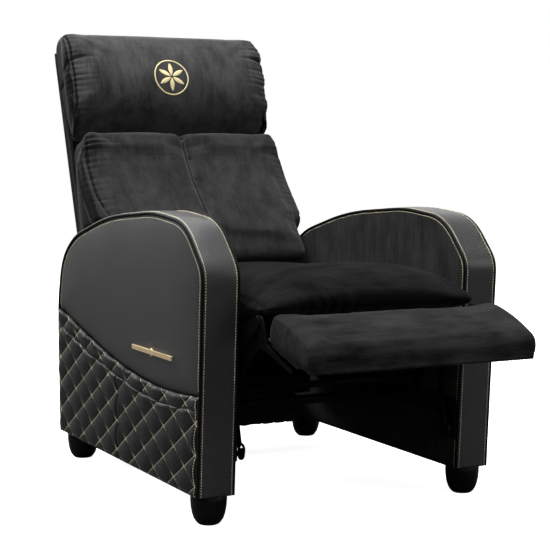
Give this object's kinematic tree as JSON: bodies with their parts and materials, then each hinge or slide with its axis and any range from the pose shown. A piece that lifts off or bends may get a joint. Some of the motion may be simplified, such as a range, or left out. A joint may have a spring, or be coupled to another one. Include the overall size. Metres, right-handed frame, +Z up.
{
  "type": "gaming recliner",
  "caption": "Push-back recliner with a padded tilting back, head roll, quilted arms with side pockets and a footrest that swings out as the seat slides forward.",
  "frame": {"origin": "on the floor under the middle of the chair's outline, with the footrest out", "axes": "+Z up, +Y to the rear of the chair (the sitter faces -Y), +X to the sitter's left"},
  "size_m": [0.72, 1.3649, 1.0528],
  "materials": {
    "velvet": "short-pile black velvet with fine slubs",
    "smooth_leather": "smooth satin artificial leather",
    "twill_leather": "artificial leather embossed with a fine twill",
    "quilted_leather": "diamond-quilted artificial leather with pale gold thread",
    "black_steel": "satin black powder coat",
    "spring_steel": "bright drawn wire",
    "timber": "sawn softwood",
    "plywood": "raw plywood",
    "foot_plastic": "satin black moulded plastic"
  },
  "bodies": {
    "base": {"arm_band_right": "twill_leather", "arm_inner_cover_right": "velvet", "arm_board_right": "plywood", "arm_front_post_right": "timber", "arm_rear_post_right": "timber", "arm_outer_pad_right": "smooth_leather", "arm_quilted_panel_right": "quilted_leather", "arm_pocket_right": "quilted_leather", "foot_front_right": "foot_plastic", "foot_rear_right": "foot_plastic", "base_rail_right": "black_steel", "arm_band_left": "twill_leather", "arm_inner_cover_left": "velvet", "arm_board_left": "plywood", "arm_front_post_left": "timber", "arm_rear_post_left": "timber", "arm_outer_pad_left": "smooth_leather", "arm_quilted_panel_left": "quilted_leather", "arm_pocket_left": "quilted_leather", "foot_front_left": "foot_plastic", "foot_rear_left": "foot_plastic", "base_rail_left": "black_steel", "base_tube_front": "black_steel", "base_tube_rear": "black_steel", "rear_rail": "velvet"},
    "rear_swing_links": {"rear_swing_link_right": "black_steel", "rear_swing_link_left": "black_steel", "rear_swing_tube": "black_steel"},
    "front_swing_links": {"front_swing_link_right": "black_steel", "front_swing_link_left": "black_steel", "front_swing_tube": "black_steel"},
    "seat": {"seat_plate_right": "black_steel", "seat_plate_left": "black_steel", "seat_side_rail_right": "timber", "seat_side_rail_left": "timber", "seat_front_rail": "timber", "seat_rear_rail": "timber", "seat_spring_1": "spring_steel", "seat_spring_2": "spring_steel", "seat_spring_3": "spring_steel", "seat_spring_4": "spring_steel", "seat_cushion": "velvet"},
    "back": {"back_panel": "velvet", "back_post_right": "timber", "back_post_left": "timber", "back_bottom_rail": "timber", "back_top_rail": "timber", "back_gusset_right": "velvet", "back_gusset_left": "velvet", "recline_bracket_right": "black_steel", "recline_bracket_left": "black_steel", "back_cushion": "velvet", "head_cushion": "velvet"},
    "footrest": {"footrest_board": "plywood", "footrest_pad": "velvet", "footrest_bracket_right": "black_steel", "footrest_bracket_left": "black_steel"},
    "drive_links": {"drive_link_right": "black_steel", "drive_link_left": "black_steel"}
  },
  "joints": [
    {"name": "mechanism_fold", "type": "hinge", "parent": "base", "child": "rear_swing_links", "pos_m": [0, 0.095, 0.2], "axis": [-1, 0, 0], "range_deg": [0, 44]},
    {"name": "seat_level", "type": "hinge", "parent": "rear_swing_links", "child": "seat", "pos_m": [0, 0.05738, 0.30337], "axis": [1, 0, 0], "range_deg": [0, 44]},
    {"name": "front_swing", "type": "hinge", "parent": "base", "child": "front_swing_links", "pos_m": [0, -0.235, 0.2], "axis": [-1, 0, 0], "range_deg": [0, 44]},
    {"name": "footrest_fold", "type": "hinge", "parent": "seat", "child": "footrest", "pos_m": [0, -0.467, 0.428], "axis": [1, 0, 0], "range_deg": [0, 71]},
    {"name": "drive_swing", "type": "hinge", "parent": "footrest", "child": "drive_links", "pos_m": [0, -0.47808, 0.38635], "axis": [-1, 0, 0], "range_deg": [0, 100]},
    {"name": "back_recline", "type": "hinge", "parent": "seat", "child": "back", "pos_m": [0, 0.34, 0.385], "axis": [-1, 0, 0], "range_deg": [-8, 38]}
  ],
  "couplings": [
    {"joint": "seat_level", "follows": "mechanism_fold", "ratio": 1},
    {"joint": "front_swing", "follows": "mechanism_fold", "ratio": 1},
    {"joint": "footrest_fold", "follows": "mechanism_fold", "ratio": 1.6136},
    {"joint": "drive_swing", "follows": "mechanism_fold", "ratio": 2.2716}
  ]
}
